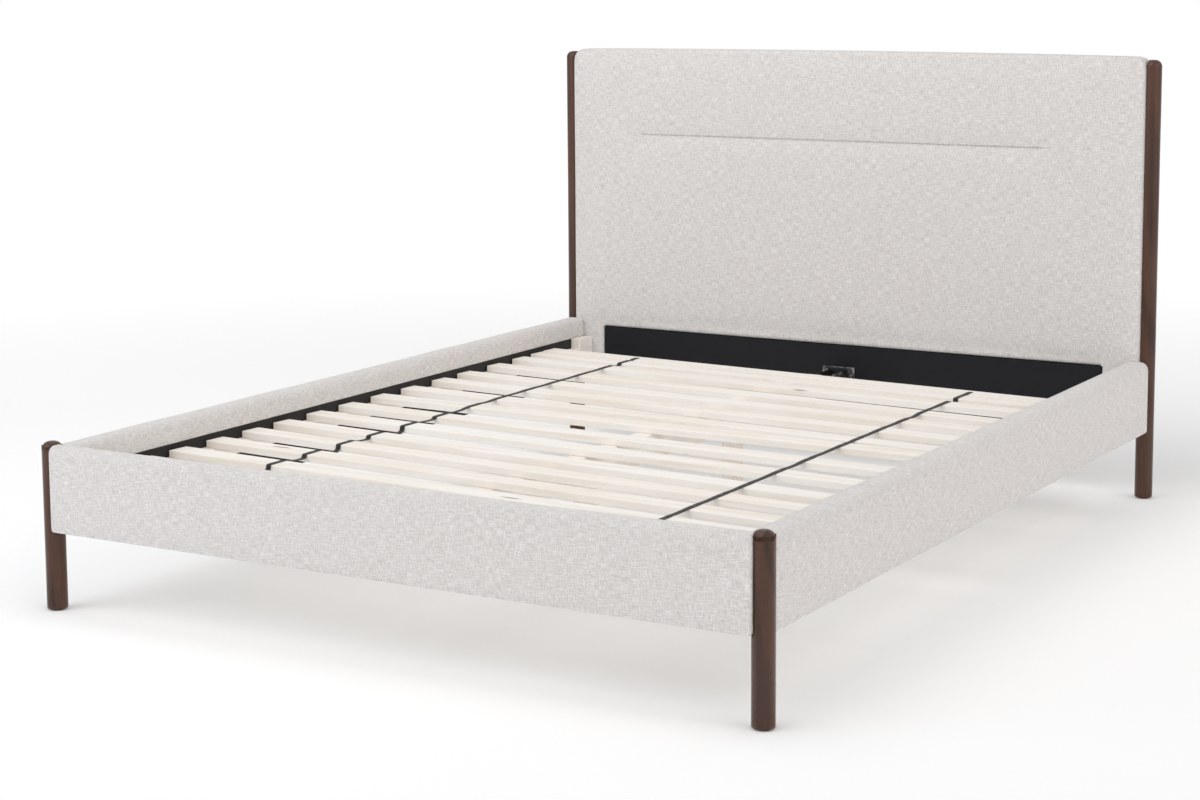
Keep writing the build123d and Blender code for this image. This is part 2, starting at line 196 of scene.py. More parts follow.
def makeWeaveGroup():
    # a plain weave with slubs; the map's X runs along the weft and Y along the warp, in metres
    group, given, result = newGroup(
        "plainWeave",
        [("Map", "Vector", None), ("Pitch", "Float", 0.0016), ("Slub", "Float", 0.5), ("Fleck", "Float", 0.5),
         ("Light", "Color", (0.8, 0.8, 0.8, 1)), ("Dark", "Color", (0.5, 0.5, 0.5, 1))],
        [("Color", "Color"), ("Height", "Float"), ("Roughness", "Float")])
    wobble = cloud(group, given["Map"], 260, 1)
    wobble = calc(group, "MULTIPLY", calc(group, "SUBTRACT", wobble, 0.5), 0.0011)
    u, v, _ = splitAxes(group, given["Map"])
    across = calc(group, "DIVIDE", calc(group, "ADD", u, wobble), given["Pitch"])
    along = calc(group, "DIVIDE", calc(group, "SUBTRACT", v, wobble), given["Pitch"])
    warp = calc(group, "SINE", calc(group, "MULTIPLY", across, 2 * math.pi))
    weft = calc(group, "SINE", calc(group, "MULTIPLY", along, 2 * math.pi))
    threads = calc(group, "MULTIPLY_ADD", calc(group, "MULTIPLY", warp, weft), 0.5, 0.5)
    weftSlub = cloud(group, stretch(group, given["Map"], (45, 620, 1)), 1.0, 2)
    warpSlub = cloud(group, stretch(group, given["Map"], (620, 60, 1)), 1.0, 2, 7.0)
    fleck = cloud(group, stretch(group, given["Map"], (420, 520, 1)), 1.0, 2, 3.0, 0.7)
    mottle = cloud(group, given["Map"], 14, 3, 5.0)
    slubs = calc(group, "ADD", remap(group, weftSlub, 0.38, 0.66), remap(group, warpSlub, 0.38, 0.66))
    slubs = calc(group, "MULTIPLY", calc(group, "SUBTRACT", slubs, 1.0), given["Slub"])
    flecks = calc(group, "SUBTRACT", remap(group, fleck, 0.3, 0.7), 0.5)
    flecks = calc(group, "MULTIPLY", flecks, given["Fleck"])
    tone = calc(group, "ADD", calc(group, "MULTIPLY_ADD", slubs, 0.52, 0.62), flecks)
    tone = calc(group, "ADD", tone, calc(group, "MULTIPLY_ADD", threads, 0.24, -0.12))
    tone = calc(group, "ADD", tone, calc(group, "MULTIPLY_ADD", mottle, 0.14, -0.07), clamp=True)
    plug(group, blendColour(group, tone, given["Dark"], given["Light"]), result["Color"])
    height = calc(group, "MULTIPLY_ADD", slubs, 0.55, calc(group, "MULTIPLY", threads, 0.7))
    plug(group, calc(group, "ADD", height, calc(group, "MULTIPLY", flecks, 0.5)), result["Height"])
    plug(group, remap(group, tone, 0.0, 1.0, 0.97, 0.84), result["Roughness"])
    return group


def makeGrainGroup():
    # wood with its grain along the position's X axis, in metres
    group, given, result = newGroup(
        "woodGrain",
        [("Position", "Vector", None), ("Seed", "Float", 0.0), ("Rings", "Float", 22.0),
         ("Knots", "Float", 0.0), ("Light", "Color", (0.8, 0.7, 0.5, 1)),
         ("Dark", "Color", (0.6, 0.4, 0.3, 1))],
        [("Color", "Color"), ("Height", "Float"), ("Roughness", "Float")])
    seed = calc(group, "MULTIPLY", given["Seed"], 37.0)
    board = cloud(group, stretch(group, given["Position"], (0.9, 9, 9)), 1.0, 1, seed)
    turns = calc(group, "MULTIPLY", given["Rings"], 2 * math.pi)
    rings = calc(group, "SINE", calc(group, "MULTIPLY", board, turns))
    late = remap(group, rings, 0.1, 1.0)
    fibre = cloud(group, stretch(group, given["Position"], (14, 900, 900)), 1.0, 3, seed)
    streakSeed = calc(group, "ADD", seed, 4.0)
    streak = cloud(group, stretch(group, given["Position"], (1.6, 60, 60)), 1.0, 2, streakSeed)
    streaks = calc(group, "MULTIPLY", remap(group, streak, 0.3, 0.75), 0.45)
    tone = calc(group, "MULTIPLY_ADD", late, 0.30, streaks)
    tone = calc(group, "ADD", tone, calc(group, "MULTIPLY_ADD", fibre, 0.5, -0.2), clamp=True)
    cells = group.nodes.new("ShaderNodeTexVoronoi")
    cells.voronoi_dimensions = "4D"
    plug(group, stretch(group, given["Position"], (2.4, 16, 16)), cells.inputs["Vector"])
    plug(group, seed, cells.inputs["W"])
    cells.inputs["Scale"].default_value = 1.0
    knot = remap(group, cells.outputs["Distance"], 0.09, 0.03)
    knot = calc(group, "MULTIPLY", knot, given["Knots"], clamp=True)
    plain = blendColour(group, tone, given["Light"], given["Dark"])
    plug(group, blendColour(group, knot, plain, (0.20, 0.10, 0.05, 1)), result["Color"])
    plug(group, calc(group, "MULTIPLY_ADD", fibre, 0.7, calc(group, "MULTIPLY", late, 0.3)), result["Height"])
    plug(group, remap(group, tone, 0.0, 1.0, 0.0, 1.0), result["Roughness"])
    return group


def makeWearGroup():
    # where handling rubs an edge, and where dust settles on what faces up
    group, given, result = newGroup(
        "edgeWear", [("Position", "Vector", None), ("Amount", "Float", 0.5)],
        [("Edge", "Float"), ("Dust", "Float"), ("Smudge", "Float")])
    geometry = group.nodes.new("ShaderNodeNewGeometry")
    patch = cloud(group, given["Position"], 60, 3)
    edge = remap(group, geometry.outputs["Pointiness"], 0.52, 0.60)
    edge = calc(group, "MULTIPLY", edge, remap(group, patch, 0.42, 0.62))
    plug(group, calc(group, "MULTIPLY", edge, given["Amount"], clamp=True), result["Edge"])
    up = splitAxes(group, geometry.outputs["Normal"])[2]
    grit = cloud(group, given["Position"], 900, 2, 2.0)
    dust = calc(group, "MULTIPLY", remap(group, up, 0.3, 1.0), remap(group, grit, 0.35, 0.8))
    plug(group, calc(group, "MULTIPLY", dust, given["Amount"], clamp=True), result["Dust"])
    plug(group, cloud(group, given["Position"], 9, 3, 9.0), result["Smudge"])
    return group


weaveGroup = makeWeaveGroup()
grainGroup = makeGrainGroup()
wearGroup = makeWearGroup()


def startMaterial(name, plain):
    # plain holds the numbers that are the same all over, set on the shader's own sockets
    material = bpy.data.materials.new(name)
    material.use_nodes = True
    tree = material.node_tree
    shader = tree.nodes["Principled BSDF"]
    for label, value in plain.items():
        shader.inputs[label].default_value = value
    return material, tree, shader


def placeGroup(tree, group, values):
    node = tree.nodes.new("ShaderNodeGroup")
    node.node_tree = group
    for label, value in values.items():
        plug(tree, value, node.inputs[label])
    return node.outputs


def addBump(tree, shader, height, strength, distance):
    bump = tree.nodes.new("ShaderNodeBump")
    bump.inputs["Strength"].default_value = strength
    bump.inputs["Distance"].default_value = distance
    plug(tree, height, bump.inputs["Height"])
    plug(tree, bump.outputs[0], shader.inputs["Normal"])


def objectPlace(tree):
    return tree.nodes.new("ShaderNodeTexCoord").outputs["Object"]


def meshMap(tree, name):
    node = tree.nodes.new("ShaderNodeAttribute")
    node.attribute_name = name
    return node.outputs["Vector"]


ivoryWeave = {"light": (0.880, 0.862, 0.856, 1), "dark": (0.560, 0.525, 0.502, 1), "pitch": 0.0023,
              "slub": 0.9, "fleck": 0.46, "bumpDepth": 0.0009}


def makeUpholstery(name, settings):
    material, tree, shader = startMaterial(name, {"Specular IOR Level": 0.25, "Sheen Weight": 0.25,
                                                  "Sheen Roughness": 0.45, "Sheen Tint": (1, 0.98, 0.96, 1)})
    cloth = placeGroup(tree, weaveGroup, {
        "Map": meshMap(tree, "weaveMap"), "Pitch": settings["pitch"], "Slub": settings["slub"],
        "Fleck": settings["fleck"], "Light": settings["light"], "Dark": settings["dark"]})
    plug(tree, cloth["Color"], shader.inputs["Base Color"])
    plug(tree, cloth["Roughness"], shader.inputs["Roughness"])
    addBump(tree, shader, cloth["Height"], 0.8, settings["bumpDepth"])
    return material


walnutFinish = {"light": (0.092, 0.038, 0.021, 1), "dark": (0.020, 0.008, 0.005, 1), "rings": 9.0,
                "gloss": 0.24, "matte": 0.40, "worn": (0.20, 0.105, 0.07, 1)}


def makeWalnut():
    material, tree, shader = startMaterial("walnut", {"Coat Roughness": 0.18, "Coat IOR": 1.5,
                                                      "Specular IOR Level": 0.3})
    place = objectPlace(tree)
    x, y, z = splitAxes(tree, place)
    info = tree.nodes.new("ShaderNodeObjectInfo")
    wood = placeGroup(tree, grainGroup, {
        "Position": joinAxes(tree, z, x, y), "Seed": info.outputs["Random"], "Rings": walnutFinish["rings"],
        "Light": walnutFinish["light"], "Dark": walnutFinish["dark"]})
    wear = placeGroup(tree, wearGroup, {"Position": place, "Amount": 0.5})
    stain = blendColour(tree, wear["Edge"], wood["Color"], walnutFinish["worn"])
    stain = blendColour(tree, calc(tree, "MULTIPLY", wear["Dust"], 0.12), stain, (0.5, 0.45, 0.4, 1))
    plug(tree, stain, shader.inputs["Base Color"])
    plug(tree, remap(tree, wood["Roughness"], 0, 1, walnutFinish["gloss"], walnutFinish["matte"]),
         shader.inputs["Roughness"])
    plug(tree, remap(tree, wear["Smudge"], 0.35, 0.65, 0.12, 0.26), shader.inputs["Coat Weight"])
    addBump(tree, shader, wood["Height"], 0.35, 0.0003)
    return material


pineFinish = {"light": (0.925, 0.900, 0.868, 1), "dark": (0.815, 0.725, 0.620, 1), "rings": 5.0, "knots": 1.0}
plyFinish = {"light": (0.62, 0.45, 0.27, 1), "dark": (0.40, 0.25, 0.13, 1), "rings": 7.0, "knots": 0.5}


def makeTimber(name, axis, settings):
    # axis is the one that the grain runs along
    material, tree, shader = startMaterial(name, {"Specular IOR Level": 0.35})
    place = objectPlace(tree)
    x, y, z = splitAxes(tree, place)
    turned = {"x": place, "y": joinAxes(tree, y, x, z), "z": joinAxes(tree, z, x, y)}[axis]
    info = tree.nodes.new("ShaderNodeObjectInfo")
    wood = placeGroup(tree, grainGroup, {
        "Position": turned, "Seed": info.outputs["Random"], "Rings": settings["rings"],
        "Knots": settings["knots"], "Light": settings["light"], "Dark": settings["dark"]})
    wear = placeGroup(tree, wearGroup, {"Position": place})
    tone = blendColour(tree, calc(tree, "MULTIPLY", wear["Smudge"], 0.22), wood["Color"], settings["dark"])
    plug(tree, tone, shader.inputs["Base Color"])
    plug(tree, remap(tree, wood["Roughness"], 0, 1, 0.58, 0.78), shader.inputs["Roughness"])
    addBump(tree, shader, wood["Height"], 0.5, 0.0004)
    return material


boardFinish = {"dark": (0.0080, 0.0078, 0.0108, 1), "light": (0.0092, 0.0090, 0.0122, 1), "skin": 1400}


def makeBlackBoard():
    material, tree, shader = startMaterial("blackBoard", {"Specular IOR Level": 0.22})
    place = objectPlace(tree)
    wear = placeGroup(tree, wearGroup, {"Position": place})
    skin = cloud(tree, place, boardFinish["skin"], 2)
    base = blendColour(tree, wear["Smudge"], boardFinish["dark"], boardFinish["light"])
    plug(tree, base, shader.inputs["Base Color"])
    plug(tree, remap(tree, wear["Smudge"], 0.3, 0.7, 0.46, 0.52), shader.inputs["Roughness"])
    addBump(tree, shader, skin, 0.2, 0.0001)
    return material


def makeDarkCloth(name, colours, pitch):
    # matte black textiles; the weave lies on the two largest axes of the piece
    material, tree, shader = startMaterial(name, {"Specular IOR Level": 0.2, "Sheen Weight": 0.1,
                                                  "Sheen Roughness": 0.5})
    x, y, z = splitAxes(tree, objectPlace(tree))
    flat = joinAxes(tree, calc(tree, "ADD", x, y), z, 0.0)
    cloth = placeGroup(tree, weaveGroup, {"Map": flat, "Pitch": pitch, "Slub": 0.3, "Fleck": 0.4,
                                          "Light": colours[0], "Dark": colours[1]})
    plug(tree, cloth["Color"], shader.inputs["Base Color"])
    plug(tree, cloth["Roughness"], shader.inputs["Roughness"])
    addBump(tree, shader, cloth["Height"], 0.6, 0.0004)
    return material


webbingWeave = {"light": (0.040, 0.037, 0.034, 1), "dark": (0.012, 0.011, 0.011, 1), "rib": 0.0013,
                "cord": 0.0022}


def makeWebbing():
    # ribs across the strap, with a firmer cord along each edge
    material, tree, shader = startMaterial("webbing", {"Specular IOR Level": 0.3, "Sheen Weight": 0.15,
                                                       "Sheen Roughness": 0.4})
    cloth = meshMap(tree, "weaveMap")
    u, v, _ = splitAxes(tree, cloth)
    rib = calc(tree, "SINE", calc(tree, "MULTIPLY", u, 2 * math.pi / webbingWeave["rib"]))
    cord = calc(tree, "SINE", calc(tree, "MULTIPLY", v, 2 * math.pi / webbingWeave["cord"]))
    weave = calc(tree, "MULTIPLY_ADD", calc(tree, "MULTIPLY", rib, cord), 0.5, 0.5)
    fuzz = cloud(tree, cloth, 800, 2)
    tone = calc(tree, "MULTIPLY_ADD", weave, 0.6, calc(tree, "MULTIPLY", fuzz, 0.5), clamp=True)
    colour = blendColour(tree, tone, webbingWeave["dark"], webbingWeave["light"])
    plug(tree, colour, shader.inputs["Base Color"])
    plug(tree, remap(tree, tone, 0, 1, 0.9, 0.62), shader.inputs["Roughness"])
    addBump(tree, shader, weave, 0.7, 0.0004)
    return material


def makeMetal(name, colours, plain, rough):
    # colours are the dark and the light of the brushing, and the worn edges
    material, tree, shader = startMaterial(name, plain)
    place = objectPlace(tree)
    wear = placeGroup(tree, wearGroup, {"Position": place, "Amount": 0.8})
    brushed = cloud(tree, stretch(tree, place, (1, 1, 14)), 260, 3)
    base = blendColour(tree, brushed, colours[0], colours[1])
    base = blendColour(tree, wear["Edge"], base, colours[2])
    plug(tree, base, shader.inputs["Base Color"])
    plug(tree, remap(tree, brushed, 0.25, 0.75, rough[0], rough[1]), shader.inputs["Roughness"])
    addBump(tree, shader, brushed, 0.2, 0.0002)
    return material


plasticFinish = {"dark": (0.022, 0.022, 0.022, 1), "light": (0.040, 0.039, 0.038, 1),
                 "scuffed": (0.10, 0.10, 0.10, 1), "skin": 2200}


def makePlastic():
    material, tree, shader = startMaterial("glidePlastic", {"Specular IOR Level": 0.4})
    place = objectPlace(tree)
    wear = placeGroup(tree, wearGroup, {"Position": place, "Amount": 0.6})
    base = blendColour(tree, wear["Smudge"], plasticFinish["dark"], plasticFinish["light"])
    base = blendColour(tree, wear["Edge"], base, plasticFinish["scuffed"])
    plug(tree, base, shader.inputs["Base Color"])
    plug(tree, remap(tree, wear["Smudge"], 0.3, 0.7, 0.42, 0.58), shader.inputs["Roughness"])
    addBump(tree, shader, cloud(tree, place, plasticFinish["skin"], 2), 0.3, 0.0002)
    return material


def makeFloor():
    half = studio["floorHalf"]
    mesh = bpy.data.meshes.new("floor")
    corners = [(-half, -half, 0), (half, -half, 0), (half, half, 0), (-half, half, 0)]
    mesh.from_pydata(corners, [], [(0, 1, 2, 3)])
    floor = bpy.data.objects.new("floor", mesh)
    material, tree, shader = startMaterial("paleFloor", {"Specular IOR Level": 0.0, "Roughness": 0.9,
                                                         "Emission Strength": 1.0})
    place = objectPlace(tree)
    paper = cloud(tree, place, 40, 2)
    reach = tree.nodes.new("ShaderNodeVectorMath")
    reach.operation = "LENGTH"
    plug(tree, place, reach.inputs[0])
    glow = remap(tree, reach.outputs["Value"], 2.2, 6.5, studio["glowNear"], studio["glowFar"])
    plug(tree, joinAxes(tree, glow, glow, glow), shader.inputs["Emission Color"])
    colour = studio["floorColour"]
    plug(tree, blendColour(tree, paper, (*colour, 1), (*(c * 0.995 for c in colour), 1)),
         shader.inputs["Base Color"])
    mesh.materials.append(material)
    scene.collection.objects.link(floor)


makeCamera()
makeSky()
for name, settings in suns.items():
    placeLight(name, "SUN", settings)
for name, settings in panels.items():
    placeLight(name, "AREA", settings)
makeFloor()
print("camera, light and floor ready")

ivory = makeUpholstery("ivoryUpholstery", ivoryWeave)
walnut = makeWalnut()
pine = makeTimber("pineAcross", "x", pineFinish)
pineAlong = makeTimber("pineAlong", "y", pineFinish)
pineUpright = makeTimber("pineUpright", "z", pineFinish)
coreAcross = makeTimber("coreAcross", "x", plyFinish)
coreAlong = makeTimber("coreAlong", "y", plyFinish)
coreUpright = makeTimber("coreUpright", "z", plyFinish)
blackBoard = makeBlackBoard()
lining = makeDarkCloth("blackLining", ((0.030, 0.027, 0.026, 1), (0.010, 0.009, 0.009, 1)), 0.0012)
dustCloth = makeDarkCloth("dustCloth", ((0.036, 0.034, 0.034, 1), (0.014, 0.013, 0.013, 1)), 0.0030)
webbing = makeWebbing()
blackSteel = makeMetal("blackSteel",
                       ((0.012, 0.012, 0.013, 1), (0.024, 0.024, 0.026, 1), (0.30, 0.29, 0.28, 1)),
                       {"Specular IOR Level": 0.5}, (0.32, 0.48))
zinc = makeMetal("zinc", ((0.46, 0.46, 0.48, 1), (0.62, 0.62, 0.63, 1), (0.75, 0.75, 0.74, 1)),
                 {"Metallic": 1.0}, (0.26, 0.44))
plastic = makePlastic()
print("materials ready")


def addPiece(name, mesh, material, body="frame"):
    piece = bpy.data.objects.new(name, mesh)
    scene.collection.objects.link(piece)
    mesh.materials.append(material)
    for face in mesh.polygons:
        face.use_smooth = True
    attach(piece, body)
    return piece


def finishMesh(bm, name):
    bmesh.ops.remove_doubles(bm, verts=bm.verts, dist=1e-6)
    bmesh.ops.recalc_face_normals(bm, faces=bm.faces)
    mesh = bpy.data.meshes.new(name)
    bm.to_mesh(mesh)
    bm.free()
    return mesh


def readPoints(mesh):
    points = np.zeros(len(mesh.vertices) * 3)
    mesh.vertices.foreach_get("co", points)
    return points.reshape(-1, 3)


def writePoints(mesh, points):
    mesh.vertices.foreach_set("co", points.ravel())
    mesh.update()


def writeMap(mesh, u, v):
    layer = mesh.attributes.new("weaveMap", "FLOAT_VECTOR", "POINT")
    layer.data.foreach_set("vector", np.stack([u, v, np.zeros_like(u)], axis=1).astype(np.float32).ravel())


def ease(value):
    value = np.clip(value, 0, 1)
    return value * value * (3 - 2 * value)


def spaced(start, end, step):
    count = max(1, round(abs(end - start) / step))
    return [start + (end - start) * i / count for i in range(count + 1)]


def softSection(corners, step):
    # a closed outline of right-angled corners (depth, level, radius), its straights cut to about step
    outline = []
    count = len(corners)
    for i, (d, z, radius) in enumerate(corners):
        here = Vector((d, z))
        before = (Vector(corners[i - 1][:2]) - here).normalized()
        after = (Vector(corners[(i + 1) % count][:2]) - here).normalized()
        centre = here + (before + after) * radius
        turns = max(2, round(radius * math.pi / 2 / step) + 1)
        for k in range(turns + 1):
            angle = math.pi / 2 * k / turns
            outline.append(centre - after * radius * math.cos(angle) - before * radius * math.sin(angle))
    filled = []
    for i, point in enumerate(outline):
        following = outline[(i + 1) % len(outline)]
        pieces = max(1, round((following - point).length / step))
        filled += [point.lerp(following, k / pieces) for k in range(pieces)]
    return filled


def padAlong(name, section, span, endRadius, step, place):
    # lofts a section along a rail; place turns (along, depth, level) into a point
    rounded = []
    for k in range(5):
        angle = math.pi / 2 * k / 5
        rounded.append((endRadius * (1 - math.sin(angle)), endRadius * (1 - math.cos(angle))))
    start, end = span
    rows = [(start + back, inset) for inset, back in rounded]
    rows += [(s, 0.0) for s in spaced(start + endRadius, end - endRadius, step)]
    rows += [(end - back, inset) for inset, back in reversed(rounded)]
    depths = [p.x for p in section]
    levels = [p.y for p in section]
    middle = Vector(((min(depths) + max(depths)) / 2, (min(levels) + max(levels)) / 2))
    half = Vector(((max(depths) - min(depths)) / 2, (max(levels) - min(levels)) / 2))
    bm = bmesh.new()
    rings = []
    for s, inset in rows:
        ring = []
        for p in section:
            d = middle.x + (p.x - middle.x) * (1 - inset / half.x)
            z = middle.y + (p.y - middle.y) * (1 - inset / half.y)
            ring.append(bm.verts.new(place(s, d, z)))
        rings.append(ring)
    for a, b in zip(rings, rings[1:]):
        for i in range(len(section)):
            j = (i + 1) % len(section)
            bm.faces.new((a[i], a[j], b[j], b[i]))
    for ring in (rings[0], rings[-1]):
        bmesh.ops.triangulate(bm, faces=[bm.faces.new(ring)])
    return finishMesh(bm, name)


def ripple(points, size, amount, seed):
    # a slow unevenness, in metres, at each point
    return np.array([noise.noise(Vector(p) / size + Vector((seed, seed, seed))) * amount for p in points])


def fillPad(piece, held, settings):
    # the cover is pinned where held is 1 and swells with a little spare fabric; a point moves outwards by
    # at most cap, and hardly sinks
    mesh = piece.data
    rest = readPoints(mesh)
    pins = piece.vertex_groups.new(name="held")
    for i, weight in enumerate(held):
        pins.add([i], float(weight), "REPLACE")
    cloth = piece.modifiers.new("fill", "CLOTH")
    cloth.settings.quality = 4
    cloth.settings.mass = 0.3
    cloth.settings.tension_stiffness = settings["tension"]
    cloth.settings.compression_stiffness = settings["tension"]
    cloth.settings.shear_stiffness = settings["tension"] / 2
    cloth.settings.bending_stiffness = settings["bending"]
    cloth.settings.use_pressure = True
    cloth.settings.uniform_pressure_force = settings["pressure"]
    cloth.settings.shrink_min = -settings["spare"]
    cloth.settings.vertex_group_mass = "held"
    cloth.settings.effector_weights.gravity = 0
    cloth.point_cache.frame_start = 1
    cloth.point_cache.frame_end = settings["frames"]
    for step in range(1, settings["frames"] + 1):
        scene.frame_set(step)
    depsgraph = bpy.context.evaluated_depsgraph_get()
    swollen = readPoints(piece.evaluated_get(depsgraph).data)
    scene.frame_set(1)
    piece.modifiers.remove(cloth)
    piece.vertex_groups.remove(pins)
    outward = np.zeros(len(mesh.vertices) * 3)
    mesh.vertex_normals.foreach_get("vector", outward)
    outward = outward.reshape(-1, 3)
    moved = swollen - rest
    sunk = np.minimum((moved * outward).sum(axis=1, keepdims=True) + 0.0003, 0)
    moved -= outward * sunk
    length = np.linalg.norm(moved, axis=1, keepdims=True)
    capped = settings["cap"] * np.tanh(length / settings["cap"])
    writePoints(mesh, rest + moved * capped / np.maximum(length, 1e-9))
    print(piece.name, "filled, largest move", round(float(length.max()) * 1000, 1), "mm")


def smoothOver(piece, levels=1):
    subdivision = piece.modifiers.new("smooth", "SUBSURF")
    subdivision.levels = levels
    subdivision.render_levels = levels


footRail = {"step": 0.009, "topFront": 0.015, "topBack": 0.011, "bottom": 0.005, "endRadius": 0.008,
            "crown": 0.0020, "uneven": 0.0009, "seed": 3.0, "lift": 0.005,
            "fill": {"tension": 14, "bending": 0.6, "pressure": 3.0, "spare": 0.004, "frames": 16,
                     "cap": 0.0025}}


def makeFootRail():
    low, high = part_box("foot_rail_cover")
    r = footRail
    corners = [(low.y, low.z, r["bottom"]), (low.y, high.z, r["topFront"]),
               (high.y, high.z, r["topBack"]), (high.y, low.z, r["bottom"])]
    section = softSection(corners, r["step"])
    mesh = padAlong("footRailPad", section, (low.x, high.x), r["endRadius"], r["step"],
                    lambda s, d, z: (s, d, z))
    points = readPoints(mesh)
    middle = (low.y + high.y) / 2
    writeMap(mesh, points[:, 0].copy(), points[:, 2] - np.abs(points[:, 1] - middle))
    share = (points[:, 2] - low.z) / (high.z - low.z)
    ends = ease((np.abs(points[:, 0]) * -1 + high.x) / 0.03)
    front = ease((middle - points[:, 1]) / 0.010)
    points[:, 1] -= r["crown"] * np.sin(np.pi * share) * front * ends
    uneven = ripple(points, 0.16, r["uneven"], r["seed"])
    uneven += ripple(points, 0.05, r["uneven"] * 0.35, r["seed"] + 9)
    points[:, 1] -= uneven * front * ends
    top = ease((share - 0.93) / 0.07)
    points[:, 2] += ripple(points, 0.22, r["uneven"] * 1.4, r["seed"] + 5) * top * ends
    points[:, 2] += r["lift"] * ease((share - 0.3) / 0.6)  # the padding stands a little over the core
    writePoints(mesh, points)
    piece = addPiece("footRailPad", mesh, ivory)
    held = np.where((points[:, 2] < low.z + 0.004) | (np.abs(points[:, 0]) > high.x - 0.006), 1.0, 0.0)
    fillPad(piece, held, r["fill"])
    smoothOver(piece)
    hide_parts("foot_rail_cover")


sideRail = {"step": 0.010, "topOuter": 0.019, "topInner": 0.013, "bottom": 0.005, "hem": 0.300,
            "hemRadius": 0.002, "coverThickness": 0.005, "endRadius": 0.006, "crown": 0.0024,
            "uneven": 0.0010,
            "fill": {"tension": 14, "bending": 0.6, "pressure": 3.0, "spare": 0.004, "frames": 16,
                     "cap": 0.0025}}


def makeSideRail(side, sign, seed):
    low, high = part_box(f"side_rail_cover_{side}")
    r = sideRail
    inner, outer = sorted((abs(low.x), abs(high.x)))
    tucked = inner + r["coverThickness"]
    corners = [(inner, r["hem"], r["hemRadius"]), (inner, high.z, r["topInner"]),
               (outer, high.z, r["topOuter"]), (outer, low.z, r["bottom"]),
               (tucked, low.z, r["hemRadius"]), (tucked, r["hem"], 0.001)]
    section = softSection(corners, r["step"])
    name = "sideRailPad." + side
    mesh = padAlong(name, section, (low.y, high.y), r["endRadius"], r["step"],
                    lambda s, d, z: (sign * d, s, z))
    points = readPoints(mesh)
    depth = np.abs(points[:, 0])
    middle = (inner + outer) / 2
    writeMap(mesh, points[:, 1].copy(), points[:, 2] - np.abs(depth - middle))
    share = (points[:, 2] - low.z) / (high.z - low.z)
    ends = ease(np.minimum(points[:, 1] - low.y, high.y - points[:, 1]) / 0.03)
    face = ease((depth - middle) / 0.012)
    uneven = ripple(points, 0.17, r["uneven"], seed)
    uneven += ripple(points, 0.05, r["uneven"] * 0.35, seed + 9)
    swell = r["crown"] * np.sin(np.pi * share) + r["crown"] * 0.4 * ease((share - 0.6) / 0.3)
    points[:, 0] += sign * (swell * 0.8 + uneven) * face * ends
    top = ease((share - 0.93) / 0.07)
    points[:, 2] += ripple(points, 0.20, r["uneven"] * 1.5, seed + 5) * top * ends
    writePoints(mesh, points)
    piece = addPiece(name, mesh, ivory)
    hem = (depth < tucked + 0.001) & (points[:, 2] < r["hem"] + 0.004)
    under = (points[:, 2] < low.z + 0.004) | hem
    atEnd = (points[:, 1] < low.y + 0.005) | (points[:, 1] > high.y - 0.005)
    fillPad(piece, np.where(under | atEnd, 1.0, 0.0), r["fill"])
    smoothOver(piece)
    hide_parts(f"side_rail_cover_{side}")


headboard = {"step": 0.013, "edgeRadius": 0.012, "cornerRadius": 0.030, "openingHalf": 0.7225,
             "openingTop": 0.3305, "innerDepth": 0.0155, "backMargin": 0.016, "crown": 0.0045,
             "uneven": 0.0016,
             "bowMiddle": 0.0015, "bowEnds": -0.0045, "seamLevel": 0.875, "seamFrom": -0.622, "seamTo": 0.589,
             "seamFade": 0.05, "seamDepth": 0.0030, "seamLip": 0.0022, "seed": 21.0,
             "fill": {"tension": 14, "bending": 0.8, "pressure": 2.0, "spare": 0.003, "frames": 16,
                      "cap": 0.005}}


def fineNear(places, marks, offsets):
    # adds lines at small distances from each mark, and drops the regular ones that crowd them
    added = sorted({round(mark + side * o, 6) for mark, sides in marks for side in sides for o in offsets})
    kept = [p for p in places if all(abs(p - a) > 0.004 for a in added)]
    return sorted(kept + added)


def headboardGrid(low, high):
    h = headboard
    edge = (0.0, 0.0012, 0.003, 0.0055, 0.0085, 0.012, 0.017)
    sideMarks = [(low.x, (1,)), (high.x, (-1,)), (-h["openingHalf"], (-1, 1)), (h["openingHalf"], (-1, 1))]
    xs = fineNear(spaced(-high.x, high.x, h["step"]), sideMarks, edge)
    zs = fineNear(spaced(low.z, high.z, h["step"]),
                  [(low.z, (1,)), (high.z, (-1,)), (h["openingTop"], (-1, 1))], edge)
    zs = fineNear(zs, [(h["seamLevel"], (-1, 1))], (0.0, 0.001, 0.0022, 0.004, 0.0075))
    return xs, zs


def seamShare(x):
    h = headboard
    return ease((x - h["seamFrom"]) / h["seamFade"]) * ease((h["seamTo"] - x) / h["seamFade"])


def halfWidthAt(z, half, top):  # narrower where the top corners round off
    radius = headboard["cornerRadius"]
    above = max(0.0, z - (top - radius))
    return half - radius + math.sqrt(max(0.0, radius ** 2 - above ** 2))


